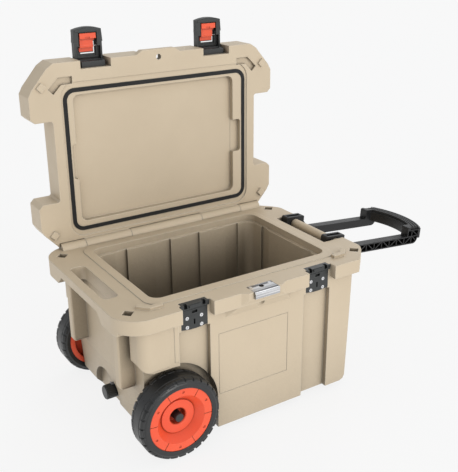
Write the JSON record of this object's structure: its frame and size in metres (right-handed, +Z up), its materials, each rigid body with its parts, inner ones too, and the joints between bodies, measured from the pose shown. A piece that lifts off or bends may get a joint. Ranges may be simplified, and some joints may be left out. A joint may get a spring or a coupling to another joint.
{
  "type": "wheeled cooler",
  "caption": "Hard-sided cooler with a hinged lid, over-centre latches, wheels at one end, a fold-down towing handle at the other and a screw-cap drain.",
  "frame": {"origin": "on the floor under the centre of the rest bounding box (lid open, towing handle out)", "axes": "+X from the wheel end towards the towing handle, +Y from the latch side towards the hinge, +Z up"},
  "size_m": [1.0148, 0.5594, 0.895],
  "materials": {
    "moulded_tan": "rotomoulded polyethylene, fine orange-peel texture",
    "black_plastic": "glass-filled nylon, fine grain",
    "orange_plastic": "moulded satin plastic",
    "rubber_black": "soft rubber",
    "tyre_black": "solid rubber tyre",
    "bright_steel": "zinc-plated or stainless",
    "polished_steel": "polished stainless steel",
    "grey_plastic": "flexible grey plastic"
  },
  "bodies": {
    "tub": {"tub_shell": "moulded_tan", "hinge_pin": "bright_steel", "keeper_left": "black_plastic", "keeper_right": "black_plastic", "keeper_screws": "bright_steel", "lock_plate": "polished_steel", "lock_plate_screws": "bright_steel", "drain_fitting": "black_plastic", "drain_washer": "grey_plastic", "drain_tether": "grey_plastic", "axle": "bright_steel", "axle_cap_front": "black_plastic", "axle_cap_rear": "black_plastic", "foot_front": "rubber_black", "foot_rear": "rubber_black", "foot_screws": "bright_steel"},
    "lid": {"lid_shell": "moulded_tan", "lid_gasket": "rubber_black", "latch_mount_left": "black_plastic", "latch_mount_right": "black_plastic", "latch_mount_screws": "bright_steel", "latch_pin_left": "bright_steel", "latch_pin_right": "bright_steel"},
    "latch_left": {"latch_body_left": "black_plastic", "button_pin_left": "bright_steel"},
    "latch_right": {"latch_body_right": "black_plastic", "button_pin_right": "bright_steel"},
    "button_left": {"latch_button_left": "orange_plastic"},
    "button_right": {"latch_button_right": "orange_plastic"},
    "wheel_front": {"tyre_front": "tyre_black", "wheel_rim_front": "orange_plastic", "wheel_bush_front": "black_plastic"},
    "wheel_rear": {"tyre_rear": "tyre_black", "wheel_rim_rear": "orange_plastic", "wheel_bush_rear": "black_plastic"},
    "towing_handle": {"handle_arms": "black_plastic", "handle_grip": "rubber_black", "clamp_front": "black_plastic", "clamp_rear": "black_plastic", "clamp_screws": "bright_steel"},
    "drain_plug": {"drain_cap": "black_plastic"}
  },
  "joints": [
    {"name": "lid_hinge", "type": "hinge", "parent": "tub", "child": "lid", "pos_m": [-0.15744, 0.20275, 0.358], "axis": [1, 0, 0], "range_deg": [0, 90]},
    {"name": "latch_left_pivot", "type": "hinge", "parent": "lid", "child": "latch_left", "pos_m": [-0.32794, 0.24975, 0.813], "axis": [1, 0, 0], "range_deg": [0, 90]},
    {"name": "latch_right_pivot", "type": "hinge", "parent": "lid", "child": "latch_right", "pos_m": [0.01306, 0.24975, 0.813], "axis": [1, 0, 0], "range_deg": [0, 90]},
    {"name": "button_left_press", "type": "hinge", "parent": "latch_left", "child": "button_left", "pos_m": [-0.32794, 0.25415, 0.849], "axis": [-1, 0, 0], "range_deg": [0, 5], "stiffness_Nm_per_rad": 0.6, "springref_deg": -5.73},
    {"name": "button_right_press", "type": "hinge", "parent": "latch_right", "child": "button_right", "pos_m": [0.01306, 0.25415, 0.849], "axis": [-1, 0, 0], "range_deg": [0, 5], "stiffness_Nm_per_rad": 0.6, "springref_deg": -5.73},
    {"name": "wheel_front_spin", "type": "hinge", "parent": "tub", "child": "wheel_front", "pos_m": [-0.38644, -0.24875, 0.1], "axis": [0, 1, 0], "continuous": true},
    {"name": "wheel_rear_spin", "type": "hinge", "parent": "tub", "child": "wheel_rear", "pos_m": [-0.38644, 0.20125, 0.1], "axis": [0, 1, 0], "continuous": true},
    {"name": "towing_handle_pivot", "type": "hinge", "parent": "tub", "child": "towing_handle", "pos_m": [0.16756, -0.02375, 0.346], "axis": [0, 1, 0], "range_deg": [-5, 85]},
    {"name": "drain_plug_turn", "type": "hinge", "parent": "tub", "child": "drain_plug", "pos_m": [-0.44244, -0.02375, 0.06], "axis": [1, 0, 0], "continuous": true}
  ]
}
